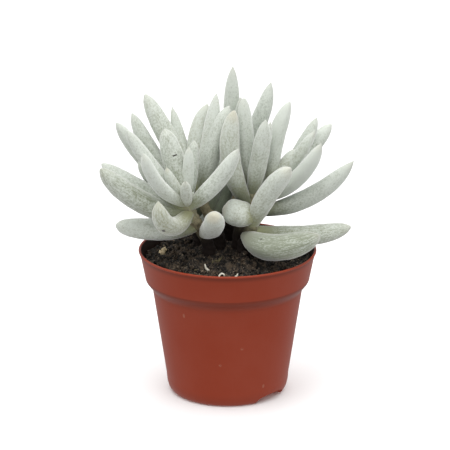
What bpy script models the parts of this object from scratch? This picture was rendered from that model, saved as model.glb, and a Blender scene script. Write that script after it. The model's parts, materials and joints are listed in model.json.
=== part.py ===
"""A potted senecio: felted spindle leaves on seven short stems, in peat, in a nursery pot.

Lengths are in millimetres and angles in degrees until a mesh is made, which is in metres.
The origin is the middle of the pot's underside, +Z is up, and the best side faces -Y.
Compass directions run from +X at 0 through +Y at 90; the front is -90.
"""
import math

import bmesh
import bpy
from mathutils import Vector, noise

MM = 0.001
GAP = 0.3                 # clearance between separate pieces
MERGE_DISTANCE = 0.00001  # metres

# The pot, a thin moulding, from the rim down
POT_HEIGHT = 70.4
RIM_RADIUS = 42.5
POT_WALL = 1.0
LIP_ROUNDING = 0.6
LIP_DROP = 4.0            # the flared lip, from the rim's top to its neck
NECK_RADIUS = 41.3
BAND_DROP = 13.6          # the deep band under the rim
BAND_RADIUS = 39.4
SHOULDER_DROP = 20.0      # where the band has curved in to the wall
WALL_TOP_RADIUS = 35.8
FOOT_HEIGHT = 8.0         # where the wall starts to round in to the foot
WALL_LOW_RADIUS = 29.4
FOOT_RADIUS = 26.2
FLOOR_UNDERSIDE = 4.6     # the drain ring stands this high over the ground
FLOOR_THICKNESS = 1.2
DISC_RADIUS = 13.0        # the flat disc in the middle, which the pot also stands on
DISC_SLOPE = 1.0
FLOOR_TUCK = 0.3          # how much the inside narrows where the wall meets the floor
SKIRT_TUCK = 1.2          # the same under the floor, behind the foot
FOOT_TUCK = 0.2
DRAIN_HOLES = 6
DRAIN_HOLE_RADIUS = 3.0
DRAIN_RING_RADIUS = 20.0
DRAIN_HOLE_SIDES = 12
NOTCH_DIRECTIONS = (-40, 140)
NOTCH_WIDTH = 19.0
NOTCH_HEIGHT = 3.9
NOTCH_FLATNESS = 0.6      # below 1 squares the arch's shoulders
NOTCH_REACH = 9.0         # enough to cut right through the foot
NOTCH_SIDES = 20
POT_STEPS = 48
SHOULDER_POINTS = 5       # points of the curve from the band in to the wall, outside
INNER_SHOULDER_POINTS = 4
FOOT_POINTS = 5
LIP_POINTS = 5

# The soil
SOIL_TOP = 65.4
SOIL_MOUND = 4.6          # how much the middle stands over the edge
SOIL_RELIEF = 2.0         # how far the lumps reach over and under the mound
SOIL_LUMP_SIZE = 7.0
SOIL_EVEN_EDGE = 6        # the lumps fade out over the outermost sixth
SOIL_RINGS = (36.5, 32.5, 28, 23.5, 19, 14, 9, 4.5)

# The stems. Each stands upright in its hole, leans out over the soil and turns up again:
# the place of its foot, and its tip.
STEM_FOOT_LEVEL = 71.0
STEM_BURIED_TO = 50.0
STEM_RADIUS = 3.3
STEM_TAPER = 0.15         # how much of its radius it loses up to the tip
STEM_POINTS = 7
STEM_ROUNDNESS = 3
STEM_HOLE_HEIGHT = 30.0   # reaches out over the soil
STEM_HOLE_SIDES = 12
STEMS = {
    "stem_left_front": ((-9, -5), (-19, -14, 99)),
    "stem_left_back": ((-13, 10), (-23, 8, 99)),
    "stem_centre_left": ((-4, 4.5), (-13, 3, 101)),
    "stem_centre": ((5, 2.5), (12, 3, 102)),
    "stem_right_front": ((7.5, -5), (12.5, -9.5, 89)),
    "stem_right_back": ((8.5, 11), (21, 8, 101)),
    "stem_back": ((1, 16), (2, 20, 104)),
}

# The leaves. Each row: share of the way up the stem, compass direction, rise,
# length, width, curl (the belly hangs below the line from root to tip),
# sway (the belly swings clockwise, seen from above), and how blunt the tip is,
# from 0.4, round, to 0.8, pointed.
LEAVES = {
    "stem_left_front": (
        (0.93, -143, 49, 38, 7.6, 52, 0, 0.5),
        (0.87, -178, 53, 47, 8, 14, 0, 0.5),
        (0.66, -173, 30.5, 50, 12, 42, 0, 0.5),
        (0.84, 166, 24, 46, 9, 20, 0, 0.5),
        (0.50, 169, -3.5, 39.5, 11.5, 24, 0, 0.42),
        (0.80, -122, 23, 28.5, 10, 134, 0, 0.65),
        (1.00, -150, 58, 20.5, 6, 38, 0, 0.8),
        (1.00, -60, 86, 26, 5.5, 4, 0, 0.6),
        (0.90, -94, 51, 20, 5.5, 15, 0, 0.7),
        (0.87, -20, 51, 39.5, 9.5, 28, 0, 0.7),
        (0.93, 153, 71, 36.5, 11.5, 0, 0, 0.5),
        (0.93, 68, 73, 29.5, 6.5, 8, 0, 0.5),
        (0.33, -79, 34, 29.5, 10.6, 14, -34, 0.45),
    ),
    "stem_left_back": (
        (0.90, 172, 59, 44, 9, 18, 0, 0.6),
        (0.78, -162, 51.5, 51, 9, 12, 0, 0.5),
        (0.48, -153, 48, 40, 9.5, 12, 0, 0.5),
        (0.81, 105, 38, 36, 8, 14, 0, 0.6),
        (0.61, 130, 26, 38, 9, 25, 0, 0.6),
        (0.35, 140, 12, 32, 9, 25, 0, 0.6),
        (0.45, 60, 30, 11, 8, 10, 0, 0.6),
    ),
    "stem_centre_left": (
        (0.87, 155, 57, 53.5, 10.5, 8, 0, 0.5),
        (0.94, 134, 62, 41, 6.5, 26, 0, 0.7),
        (0.87, 73, 76, 42, 10.5, 6, -38, 0.6),
        (1.00, 33, 78, 44.5, 8, -4, 12, 0.7),
        (0.85, 2, 73, 45, 10.5, -14, 0, 0.6),
        (0.42, 22, 60, 20, 7.5, 8, 0, 0.7),
        (0.35, 95, 8, 15, 7.5, 15, 0, 0.6),
        (0.55, 60, 70, 20, 9, 0, 0, 0.6),
    ),
    "stem_centre": (
        (0.65, -128, 77, 50, 10, 45, 25, 0.5),
        (0.88, 139, 83, 44.5, 8, 8, 0, 0.42),
        (0.82, -52, 75, 40, 9, 6, 0, 0.6),
        (0.93, -20, 75, 34, 6, 6, 0, 0.7),
    ),
    "stem_right_front": (
        (0.75, -32, 57, 37.5, 11, -28, 0, 0.5),
        (0.60, 13, -2, 49, 11, 34, 0, 0.5),
        (0.44, -23, 7, 36.5, 14, 32, 122, 0.5),
        (0.98, 178, 16, 15, 14, 0, 0, 0.4),
    ),
    "stem_right_back": (
        (0.93, 11, 78, 42, 9.5, -30, 0, 0.6),
        (0.93, -2, 56, 22, 8.5, -4, 0, 0.6),
        (0.87, 23, 54, 40.5, 8, 26, 0, 0.6),
        (0.81, 30, 40.5, 45, 9.5, 4, 0, 0.5),
        (0.87, -8, 55, 36.5, 7, 12, 0, 0.7),
        (0.74, -33, 46.5, 43, 9, 39, 0, 0.7),
        (0.50, -14, 31.5, 54, 10, 44, 0, 0.8),
        (0.75, 100, 60, 22, 9, 0, 0, 0.6),
    ),
    "stem_back": (
        (0.94, 72, 88, 52, 8, 6, -6, 0.7),
        (0.87, -41, 82, 41, 6, 6, 0, 0.6),
        (0.94, 6, 67, 48, 9.5, 22, 0, 0.7),
        (0.81, 85, 52, 34, 9, 14, 0, 0.6),
        (0.74, 120, 50, 38, 9, 16, 0, 0.6),
        (0.55, 95, 28, 42, 9.5, 25, 0, 0.6),
        (0.49, 30, 48, 31, 9, 20, 0, 0.6),
        (0.50, 165, 40, 28, 9, 25, 0, 0.6),
        (0.24, 76, 5, 34, 9, 20, 0, 0.6),
        (0.24, 135, 0, 30, 9, 20, 0, 0.6),
    ),
}
LEAF_SIDES = 8
LEAF_RINGS = 10
LEAF_THICKNESS = 0.88     # of the width
LEAF_ROOT = 0.52          # width where it leaves the stem, against the full width
LEAF_FULL_AT = 0.42       # share of the length where it reaches the full width
LEAF_FULLNESS = 3.4       # how long it stays wide before it closes to the tip
STRAIGHT = 0.1            # an arc that turns less than this is a line
HEADING_STEP = 0.01       # share of the length over which its heading is taken

PLASTIC_COLOUR = (0.27, 0.055, 0.028)
PEAT_COLOUR = (0.012, 0.010, 0.009)
FELT_COLOUR = (0.50, 0.56, 0.48)


def clear_scene():
    """Take out whatever the file opened with."""
    for item in list(bpy.data.objects):
        bpy.data.objects.remove(item, do_unlink=True)


def new_collection(name):
    collection = bpy.data.collections.new(name)
    bpy.context.scene.collection.children.link(collection)
    return collection


def make_material(name, colour, roughness, metallic=0.0):
    material = bpy.data.materials.new(name)
    material.use_nodes = True
    shader = material.node_tree.nodes["Principled BSDF"]
    shader.inputs["Base Color"].default_value = (*colour, 1.0)
    shader.inputs["Roughness"].default_value = roughness
    shader.inputs["Metallic"].default_value = metallic
    material.diffuse_color = (*colour, 1.0)
    return material


def mesh_object(name, bm, collection, material=None):
    """Put a bmesh into a named object with its faces pointing out."""
    bmesh.ops.recalc_face_normals(bm, faces=bm.faces)
    mesh = bpy.data.meshes.new(name)
    bm.to_mesh(mesh)
    bm.free()
    item = bpy.data.objects.new(name, mesh)
    collection.objects.link(item)
    if material:
        mesh.materials.append(material)
    return item


def evaluated_mesh(item):
    """The object's mesh with its modifiers applied."""
    depsgraph = bpy.context.evaluated_depsgraph_get()
    return bpy.data.meshes.new_from_object(item.evaluated_get(depsgraph), depsgraph=depsgraph)


def apply_modifiers(item):
    mesh = evaluated_mesh(item)
    item.modifiers.clear()
    old = item.data
    item.data = mesh
    bpy.data.meshes.remove(old)
    mesh.name = item.name


def shade_round(item, sharp_angle=40):
    item.data.shade_smooth()
    item.data.set_sharp_from_angle(angle=math.radians(sharp_angle))


def mark_as_cutter(item):
    item.hide_render = True
    item.display_type = "WIRE"


def boolean_with(item, collection, operation):
    modifier = item.modifiers.new(operation.title(), "BOOLEAN")
    modifier.operation = operation
    modifier.operand_type = "COLLECTION"
    modifier.collection = collection
    modifier.solver = "EXACT"
    return modifier


def remove_collection(collection):
    for item in list(collection.objects):
        bpy.data.objects.remove(item, do_unlink=True)
    bpy.data.collections.remove(collection)


def turned(name, profile, steps, collection, material):
    """Turn a closed profile of (radius, height) pairs that starts and ends on the axis."""
    bm = bmesh.new()
    points = [bm.verts.new((radius * MM, 0.0, height * MM)) for radius, height in profile]
    for first, second in zip(points, points[1:]):
        bm.edges.new((first, second))
    mesh = bpy.data.meshes.new(name)
    bm.to_mesh(mesh)
    bm.free()
    item = bpy.data.objects.new(name, mesh)
    collection.objects.link(item)
    mesh.materials.append(material)
    screw = item.modifiers.new("Turn", "SCREW")
    screw.steps = steps
    screw.render_steps = steps
    screw.use_merge_vertices = True
    screw.merge_threshold = MERGE_DISTANCE
    screw.use_smooth_shade = True
    apply_modifiers(item)
    return item


def blend(start, end, count):
    """Points of an S curve between two (radius, height) pairs, without its start."""
    points = []
    for k in range(1, count + 1):
        share = k / count
        ease = (1 - math.cos(math.pi * share)) / 2
        points.append((start[0] + (end[0] - start[0]) * ease, start[1] + (end[1] - start[1]) * share))
    return points


def rounded_foot():
    """Points of the wall's lower corner, from the wall in to the foot, without its start."""
    points = []
    for k in range(1, FOOT_POINTS + 1):
        angle = math.pi / 2 * k / FOOT_POINTS
        radius = FOOT_RADIUS + (WALL_LOW_RADIUS - FOOT_RADIUS) * math.cos(angle)
        points.append((radius, FOOT_HEIGHT * (1 - math.sin(angle))))
    return points


def rounded_lip():
    """Points over the top of the rim, from its inside to its outside."""
    centre = RIM_RADIUS - LIP_ROUNDING
    points = []
    for k in range(LIP_POINTS):
        angle = math.pi * (1 - k / (LIP_POINTS - 1))
        points.append((centre + LIP_ROUNDING * math.cos(angle),
                       POT_HEIGHT - LIP_ROUNDING * (1 - math.sin(angle))))
    return points


def pot_side(inset, count):
    """The side's outline from the lip's neck to the foot's corner, set in from the outside."""
    top = POT_HEIGHT
    neck = (NECK_RADIUS - inset, top - LIP_DROP)
    band = (BAND_RADIUS - inset, top - BAND_DROP)
    wall = (WALL_TOP_RADIUS - inset, top - SHOULDER_DROP)
    low = (WALL_LOW_RADIUS - inset, FOOT_HEIGHT)
    return [neck, band] + blend(band, wall, count) + [low]


def pot_profile():
    """From the inner floor up the inside, over the lip and down the outer side."""
    floor = FLOOR_UNDERSIDE + FLOOR_THICKNESS
    well = DISC_RADIUS - FLOOR_THICKNESS / 2
    floor_inside = [(0, FLOOR_THICKNESS), (well, FLOOR_THICKNESS), (well + DISC_SLOPE, floor)]
    inside = pot_side(POT_WALL, INNER_SHOULDER_POINTS)[::-1]
    inside[0] = (WALL_LOW_RADIUS - POT_WALL - FLOOR_TUCK, floor)
    skirt = [(FOOT_RADIUS - POT_WALL - FOOT_TUCK, 0),
             (WALL_LOW_RADIUS - POT_WALL - SKIRT_TUCK, FLOOR_UNDERSIDE)]
    disc = [(DISC_RADIUS + DISC_SLOPE, FLOOR_UNDERSIDE), (DISC_RADIUS, 0), (0, 0)]
    outside = pot_side(0, SHOULDER_POINTS) + rounded_foot()
    return floor_inside + inside + rounded_lip() + outside + skirt + disc


def add_drain_holes(cutters):
    for k in range(DRAIN_HOLES):
        angle = 2 * math.pi * k / DRAIN_HOLES
        bm = bmesh.new()
        bmesh.ops.create_cone(bm, cap_ends=True, segments=DRAIN_HOLE_SIDES,
                              radius1=DRAIN_HOLE_RADIUS * MM, radius2=DRAIN_HOLE_RADIUS * MM,
                              depth=3 * FLOOR_THICKNESS * MM)
        hole = mesh_object("cut_drain_%d" % k, bm, cutters)
        hole.location = (DRAIN_RING_RADIUS * math.cos(angle) * MM,
                         DRAIN_RING_RADIUS * math.sin(angle) * MM,
                         (FLOOR_UNDERSIDE + FLOOR_THICKNESS / 2) * MM)
        mark_as_cutter(hole)


def add_notches(cutters):
    """Arched openings in the foot, which let water out from under the floor."""
    radius = NOTCH_WIDTH / 2 * MM
    for k, direction in enumerate(NOTCH_DIRECTIONS):
        bm = bmesh.new()
        bmesh.ops.create_cone(bm, cap_ends=True, segments=NOTCH_SIDES, radius1=radius,
                              radius2=radius, depth=NOTCH_REACH * MM)
        for vert in bm.verts:
            across, along, up = vert.co.x, vert.co.z, vert.co.y
            rise = abs(up / radius) ** NOTCH_FLATNESS * NOTCH_HEIGHT * MM
            vert.co = (along, across, math.copysign(rise, up))
        notch = mesh_object("cut_notch_%d" % k, bm, cutters)
        angle = math.radians(direction)
        notch.rotation_euler.z = angle
        notch.location = (FOOT_RADIUS * math.cos(angle) * MM, FOOT_RADIUS * math.sin(angle) * MM, 0)
        mark_as_cutter(notch)


def make_pot(parts, material):
    pot = turned("pot", pot_profile(), POT_STEPS, parts, material)
    cutters = new_collection("pot_cutters")
    add_drain_holes(cutters)
    add_notches(cutters)
    bpy.context.view_layer.update()
    boolean_with(pot, cutters, "DIFFERENCE")
    apply_modifiers(pot)
    remove_collection(cutters)
    shade_round(pot)
    return pot


def soil_height(x, y):
    """Level of the soil at a place, in mm: a low mound with lumps, level at the edge."""
    radius = math.hypot(x, y)
    edge = NECK_RADIUS - POT_WALL - GAP
    inward = max(0.0, 1 - (radius / edge) ** 2)
    lumps = noise.noise(Vector((x, y, 0)) / SOIL_LUMP_SIZE)
    fade = min(1.0, SOIL_EVEN_EDGE * inward)
    return SOIL_TOP + SOIL_MOUND * inward + SOIL_RELIEF * lumps * fade


def soil_profile():
    """From the middle of its top out to the pot, down inside it and in along its floor."""
    floor = FLOOR_UNDERSIDE + FLOOR_THICKNESS + GAP
    disc = DISC_RADIUS - FLOOR_THICKNESS / 2 - GAP
    well = FLOOR_THICKNESS + GAP
    slope = (NECK_RADIUS - BAND_RADIUS) / (BAND_DROP - LIP_DROP)
    inset = POT_WALL + GAP
    edge = NECK_RADIUS - inset - slope * (POT_HEIGHT - LIP_DROP - SOIL_TOP)
    side = pot_side(inset, INNER_SHOULDER_POINTS)[1:-1]
    low = (WALL_LOW_RADIUS - inset - FLOOR_TUCK, floor)
    bottom = [low, (disc + DISC_SLOPE, floor), (disc, well), (0, well)]
    top = [(0, SOIL_TOP)] + [(radius, SOIL_TOP) for radius in SOIL_RINGS[::-1]]
    return top + [(edge, SOIL_TOP)] + side + bottom


def stem_point(name, share):
    """A point of the stem's middle line, from its foot at 0 to its tip at 1."""
    foot, tip = STEMS[name]
    ease = (1 - math.cos(math.pi * share)) / 2
    return Vector((foot[0] + (tip[0] - foot[0]) * ease,
                   foot[1] + (tip[1] - foot[1]) * ease,
                   STEM_FOOT_LEVEL + (tip[2] - STEM_FOOT_LEVEL) * share))


def add_stem_holes(cutters):
    for name, (foot, _) in STEMS.items():
        radius = (STEM_RADIUS + GAP) * MM
        middle = STEM_BURIED_TO - GAP + STEM_HOLE_HEIGHT / 2
        bm = bmesh.new()
        bmesh.ops.create_cone(bm, cap_ends=True, segments=STEM_HOLE_SIDES, radius1=radius,
                              radius2=radius, depth=STEM_HOLE_HEIGHT * MM)
        hole = mesh_object("cut_" + name, bm, cutters)
        hole.location = Vector((*foot, middle)) * MM
        mark_as_cutter(hole)


def make_soil(parts, material):
    soil = turned("soil", soil_profile(), POT_STEPS, parts, material)
    for vert in soil.data.vertices:
        if vert.co.z > (SOIL_TOP - GAP) * MM:
            vert.co.z = soil_height(vert.co.x / MM, vert.co.y / MM) * MM
    cutters = new_collection("soil_cutters")
    add_stem_holes(cutters)
    bpy.context.view_layer.update()
    boolean_with(soil, cutters, "DIFFERENCE")
    apply_modifiers(soil)
    remove_collection(cutters)
    shade_round(soil)
    return soil


def leaf_section(along, blunt):
    """Half-width of a leaf at a share of its length, against its fullest."""
    swell = LEAF_ROOT + (1 - LEAF_ROOT) * math.sin(math.pi / 2 * min(1.0, along / LEAF_FULL_AT))
    beyond = max(0.0, (along - LEAF_FULL_AT) / (1 - LEAF_FULL_AT))
    return swell * max(0.0, 1 - beyond ** LEAF_FULLNESS) ** blunt


def arc_point(along, turn):
    """A point of an arc over a chord of length 1: its share along and its rise off the chord."""
    if abs(turn) < STRAIGHT:
        return along, 0.0
    angle = math.radians(turn)
    radius = 1 / (2 * math.sin(angle / 2))
    swung = (along - 0.5) * angle
    return 0.5 + radius * math.sin(swung), radius * (math.cos(swung) - math.cos(angle / 2))


def leaf_axes(direction, rise):
    """Unit vectors along the leaf, to its side and over its upper face."""
    turn, lift = math.radians(direction), math.radians(rise)
    chord = Vector((math.cos(turn) * math.cos(lift), math.sin(turn) * math.cos(lift), math.sin(lift)))
    side = Vector((-math.sin(turn), math.cos(turn), 0))
    return chord, side, chord.cross(side)


def leaf_point(root, row, along):
    """The middle of the leaf at a share of its length, in mm."""
    _, direction, rise, length, _, curl, sway, _ = row
    chord, side, over = leaf_axes(direction, rise)
    share, hang = arc_point(along, curl)
    swing = arc_point(along, sway)[1]
    return root + (chord * share - over * hang - side * swing) * length


def make_leaf(name, root, row, collection):
    """Warp a sphere into a spindle: thick in the middle, narrow at its root, curved."""
    _, direction, rise, _, width, _, _, blunt = row
    side = leaf_axes(direction, rise)[1]
    bm = bmesh.new()
    bmesh.ops.create_uvsphere(bm, u_segments=LEAF_SIDES, v_segments=LEAF_RINGS, radius=0.5)
    for vert in bm.verts:
        along = min(1.0, max(0.0, vert.co.z + 0.5))
        around = Vector((vert.co.x, vert.co.y))
        centre = leaf_point(root, row, along)
        ahead = leaf_point(root, row, along + HEADING_STEP)
        behind = leaf_point(root, row, along - HEADING_STEP)
        heading = (ahead - behind).normalized()
        across = (side - heading * side.dot(heading)).normalized()
        up = heading.cross(across)
        half = width / 2 * leaf_section(along, blunt)
        if around.length > MERGE_DISTANCE:
            around.normalize()
            centre += across * around.x * half + up * around.y * half * LEAF_THICKNESS
        vert.co = centre * MM
    return mesh_object(name, bm, collection)


def make_stem_core(name, parts, material):
    """The stem alone, as a tube curve with filled caps made into a closed mesh."""
    foot = STEMS[name][0]
    places = [Vector((*foot, STEM_BURIED_TO))]
    places += [stem_point(name, k / (STEM_POINTS - 1)) for k in range(STEM_POINTS)]
    curve = bpy.data.curves.new(name, "CURVE")
    curve.dimensions = "3D"
    curve.bevel_depth = STEM_RADIUS * MM
    curve.bevel_resolution = STEM_ROUNDNESS
    curve.use_fill_caps = True
    spline = curve.splines.new("POLY")
    spline.points.add(len(places) - 1)
    for k, (point, place) in enumerate(zip(spline.points, places)):
        point.co = (*(place * MM), 1.0)
        point.radius = 1 - STEM_TAPER * k / (len(places) - 1)
    tube = bpy.data.objects.new(name + "_tube", curve)
    parts.objects.link(tube)
    bpy.context.view_layer.update()
    bm = bmesh.new()
    bm.from_mesh(evaluated_mesh(tube))
    bmesh.ops.remove_doubles(bm, verts=bm.verts, dist=MERGE_DISTANCE)
    bpy.data.objects.remove(tube, do_unlink=True)
    return mesh_object(name, bm, parts, material)


def make_leafy_stem(name, parts, material):
    """One stem with its leaves grown onto it, joined into one body."""
    stem = make_stem_core(name, parts, material)
    leaves = new_collection(name + "_leaves")
    for k, row in enumerate(LEAVES[name]):
        make_leaf("%s_leaf_%d" % (name, k), stem_point(name, row[0]), row, leaves)
    bpy.context.view_layer.update()
    boolean_with(stem, leaves, "UNION")
    apply_modifiers(stem)
    remove_collection(leaves)
    shade_round(stem, 60)
    return stem


def main():
    clear_scene()
    parts = new_collection("potted_senecio")
    plastic = make_material("terracotta_plastic", PLASTIC_COLOUR, 0.45)
    peat = make_material("peat", PEAT_COLOUR, 0.95)
    felt = make_material("felted_leaf", FELT_COLOUR, 0.85)
    make_pot(parts, plastic)
    make_soil(parts, peat)
    for name in STEMS:
        make_leafy_stem(name, parts, felt)


main()
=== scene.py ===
"""Potted senecio: the looks of a small felted succulent in a plastic nursery pot.

Laid out as an add-on and run as a script. Lengths are in millimetres until a mesh is made,
which is in metres. The origin is the middle of the pot's underside, +Z is up and the best
side faces -Y. Compass directions run from +X at 0 through +Y at 90.
"""
import json
import random
from math import copysign, cos, hypot, pi, radians, sin, sqrt

import bmesh
import bpy
from bpy.props import FloatProperty, FloatVectorProperty, IntProperty, PointerProperty
from mathutils import Euler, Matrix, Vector, noise

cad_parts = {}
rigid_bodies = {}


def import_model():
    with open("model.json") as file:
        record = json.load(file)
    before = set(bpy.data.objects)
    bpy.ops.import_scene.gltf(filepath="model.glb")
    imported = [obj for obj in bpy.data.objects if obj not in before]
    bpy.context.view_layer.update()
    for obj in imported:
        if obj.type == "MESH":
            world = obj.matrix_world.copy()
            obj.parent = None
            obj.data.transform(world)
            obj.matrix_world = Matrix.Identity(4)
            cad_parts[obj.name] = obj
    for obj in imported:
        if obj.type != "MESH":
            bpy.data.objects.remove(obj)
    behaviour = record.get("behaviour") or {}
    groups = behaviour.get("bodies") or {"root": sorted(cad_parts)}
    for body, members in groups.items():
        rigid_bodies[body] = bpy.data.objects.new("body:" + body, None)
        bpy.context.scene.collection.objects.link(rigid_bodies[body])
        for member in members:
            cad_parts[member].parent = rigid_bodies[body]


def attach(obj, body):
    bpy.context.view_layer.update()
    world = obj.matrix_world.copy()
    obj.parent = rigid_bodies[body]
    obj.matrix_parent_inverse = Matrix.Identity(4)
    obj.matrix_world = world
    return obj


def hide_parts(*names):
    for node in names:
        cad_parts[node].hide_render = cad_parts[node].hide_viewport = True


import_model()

bl_info = {
    "name": "Potted senecio",
    "version": (1, 0, 0),
    "blender": (4, 5, 0),
    "location": "3D View > Sidebar > Senecio",
    "description": "Builds a felted succulent in its nursery pot around the packed part",
    "category": "Object",
}

MM = 0.001
BODY = "root"

# The pot, the same moulding as the solid, from the rim down
POT_HEIGHT = 70.4
RIM_RADIUS = 42.5
POT_WALL = 1.0
LIP_ROUNDING = 0.6
LIP_DROP = 4.0
RIM_FLARE = 0.3
NECK_RADIUS = 41.3
BAND_DROP = 13.6
BAND_RADIUS = 39.4
SHOULDER_DROP = 20.0
WALL_TOP_RADIUS = 35.8
FOOT_HEIGHT = 8.0
WALL_LOW_RADIUS = 29.4
FOOT_RADIUS = 26.2
FLOOR_UNDERSIDE = 4.6
FLOOR_THICKNESS = 1.2
DISC_RADIUS = 13.0
DISC_SLOPE = 1.0
FLOOR_TUCK = 0.3
SKIRT_TUCK = 1.2
FOOT_TUCK = 0.2
DRAIN_HOLES = 6
DRAIN_HOLE_RADIUS = 3.0
DRAIN_RING_RADIUS = 20.0
NOTCH_DIRECTIONS = (-40, 140)
NOTCH_WIDTH = 19.0
NOTCH_HEIGHT = 3.9
NOTCH_FLATNESS = 0.6
NOTCH_REACH = 9.0

SCUFF_PLACES = ((6.8, -32.1, 31.0), (-3.5, -31.4, 22.3))    # on the front of the wall

# The soil
GAP = 0.3
SOIL_TOP = 65.4
SOIL_MOUND = 4.6
SOIL_RELIEF = 2.0
SOIL_LUMP_SIZE = 7.0
SOIL_EVEN_EDGE = 6
SOIL_EDGE = 39.75          # where the soil's top meets the pot
SOIL_SWELL_SIZE = 4.5
CRUMB_SIZES = ((4.2, 0.55), (2.1, 0.3), (1.0, 0.15))    # size, and share of the relief
CRUMB_SHAPE = ((0.7, 1.3), (0.7, 1.1), (0.5, 0.9))      # least and most of each half-width

# Bits on the soil, and their colours, pale and dark
HUSK_PLACE = (-31.0, 6.5)
HUSK_LUMPS = (((0, 0), (2.0, 1.2, 1.1)), ((-0.9, -1.4), (1.3, 1.4, 0.9)),
              ((0.4, -2.8), (0.8, 1.1, 0.7)), ((0.9, 0.8), (1.1, 0.8, 0.8)))    # shift, radii
HUSK_COLOURS = ((0.74, 0.62, 0.40), (0.24, 0.16, 0.08))
RING_PLACE = (-2.7, -32.7)
GRIT = ((33.0, -14.6, 0.4), (7.6, -21.0, 0.3), (25.5, 24.6, 0.6), (-24.6, 22.0, 0.55),
        (-8.2, 31.5, 0.5), (-12.0, -24.0, 0.26), (13.6, 31.0, 0.45))    # place and size
GRIT_COLOURS = ((0.72, 0.69, 0.60), (0.42, 0.38, 0.30))
CHIP_COLOURS = ((0.12, 0.10, 0.045), (0.03, 0.022, 0.012))

# The stems: their sizes, then the place of each foot and tip
STEM_SIDES = 24
STEM_RINGS = 64
STEM_FOOT_LEVEL = 71.0
STEM_BURIED_TO = 60.0
STEM_BURIED_SHARE = 0.38   # rings below the foot, against those above it
STEM_RADIUS = 3.3
STEM_TAPER = 0.15
STEM_ROUND_FROM = 0.93     # share of the way up where the tip starts to round off
STEMS = {
    "left_front": ((-9, -5), (-19, -14, 99)),
    "left_back": ((-13, 10), (-23, 8, 99)),
    "centre_left": ((-4, 4.5), (-13, 3, 101)),
    "centre": ((5, 2.5), (12, 3, 102)),
    "right_front": ((7.5, -5), (12.5, -9.5, 89)),
    "right_back": ((8.5, 11), (21, 8, 101)),
    "back": ((1, 16), (2, 20, 104)),
}

# The leaves: share of the way up the stem, compass direction, rise, length, width,
# curl (the belly hangs), sway (the belly swings clockwise from above), how blunt the tip is
LEAVES = {"left_front": (
    (0.93, -143, 49, 38, 7.6, 52, 0, 0.5),
    (0.87, -178, 53, 47, 8, 14, 0, 0.5),
    (0.66, -173, 30.5, 50, 12, 42, 0, 0.5),
    (0.84, 166, 24, 46, 9, 20, 0, 0.5),
    (0.50, 169, -3.5, 39.5, 11.5, 24, 0, 0.42),
    (0.80, -122, 23, 28.5, 10, 134, 0, 0.65),
    (1.00, -150, 58, 20.5, 6, 38, 0, 0.8),
    (1.00, -60, 86, 26, 5.5, 4, 0, 0.6),
    (0.90, -94, 51, 20, 5.5, 15, 0, 0.7),
    (0.87, -20, 51, 39.5, 9.5, 28, 0, 0.7),
    (0.93, 153, 71, 36.5, 11.5, 0, 0, 0.5),
    (0.93, 68, 73, 29.5, 6.5, 8, 0, 0.5),
    (0.33, -79, 34, 29.5, 10.6, 14, -34, 0.45),
), "left_back": (
    (0.90, 172, 59, 44, 9, 18, 0, 0.6),
    (0.78, -162, 51.5, 51, 9, 12, 0, 0.5),
    (0.48, -153, 48, 40, 9.5, 12, 0, 0.5),
    (0.81, 105, 38, 36, 8, 14, 0, 0.6),
    (0.61, 130, 26, 38, 9, 25, 0, 0.6),
    (0.35, 140, 12, 32, 9, 25, 0, 0.6),
    (0.45, 60, 30, 11, 8, 10, 0, 0.6),
), "centre_left": (
    (0.87, 155, 57, 53.5, 10.5, 8, 0, 0.5),
    (0.94, 134, 62, 41, 6.5, 26, 0, 0.7),
    (0.87, 73, 76, 42, 10.5, 6, -38, 0.6),
    (1.00, 33, 78, 44.5, 8, -4, 12, 0.7),
    (0.85, 2, 73, 45, 10.5, -14, 0, 0.6),
    (0.42, 22, 60, 20, 7.5, 8, 0, 0.7),
    (0.35, 95, 8, 15, 7.5, 15, 0, 0.6),
    (0.55, 60, 70, 20, 9, 0, 0, 0.6),
), "centre": (
    (0.65, -128, 77, 50, 10, 45, 25, 0.5),
    (0.88, 139, 83, 44.5, 8, 8, 0, 0.42),
    (0.82, -52, 75, 40, 9, 6, 0, 0.6),
    (0.93, -20, 75, 34, 6, 6, 0, 0.7),
), "right_front": (
    (0.75, -32, 57, 37.5, 11, -28, 0, 0.5),
    (0.60, 13, -2, 49, 11, 34, 0, 0.5),
    (0.44, -23, 7, 36.5, 14, 32, 122, 0.5),
    (0.98, 178, 16, 15, 14, 0, 0, 0.4),
), "right_back": (
    (0.93, 11, 78, 42, 9.5, -30, 0, 0.6),
    (0.93, -2, 56, 22, 8.5, -4, 0, 0.6),
    (0.87, 23, 54, 40.5, 8, 26, 0, 0.6),
    (0.81, 30, 40.5, 45, 9.5, 4, 0, 0.5),
    (0.87, -8, 55, 36.5, 7, 12, 0, 0.7),
    (0.74, -33, 46.5, 43, 9, 39, 0, 0.7),
    (0.50, -14, 31.5, 54, 10, 44, 0, 0.8),
    (0.75, 100, 60, 22, 9, 0, 0, 0.6),
), "back": (
    (0.94, 72, 88, 52, 8, 6, -6, 0.7),
    (0.87, -41, 82, 41, 6, 6, 0, 0.6),
    (0.94, 6, 67, 48, 9.5, 22, 0, 0.7),
    (0.81, 85, 52, 34, 9, 14, 0, 0.6),
    (0.74, 120, 50, 38, 9, 16, 0, 0.6),
    (0.55, 95, 28, 42, 9.5, 25, 0, 0.6),
    (0.49, 30, 48, 31, 9, 20, 0, 0.6),
    (0.50, 165, 40, 28, 9, 25, 0, 0.6),
    (0.24, 76, 5, 34, 9, 20, 0, 0.6),
    (0.24, 135, 0, 30, 9, 20, 0, 0.6),
)}
LEAF_THICKNESS = 0.88
LEAF_ROOT = 0.52
LEAF_FULL_AT = 0.42
LEAF_FULLNESS = 3.4
LEAF_LOBES = ((2, 0.018), (3, 0.016), (5, 0.010))    # waves round a leaf and their height
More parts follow.
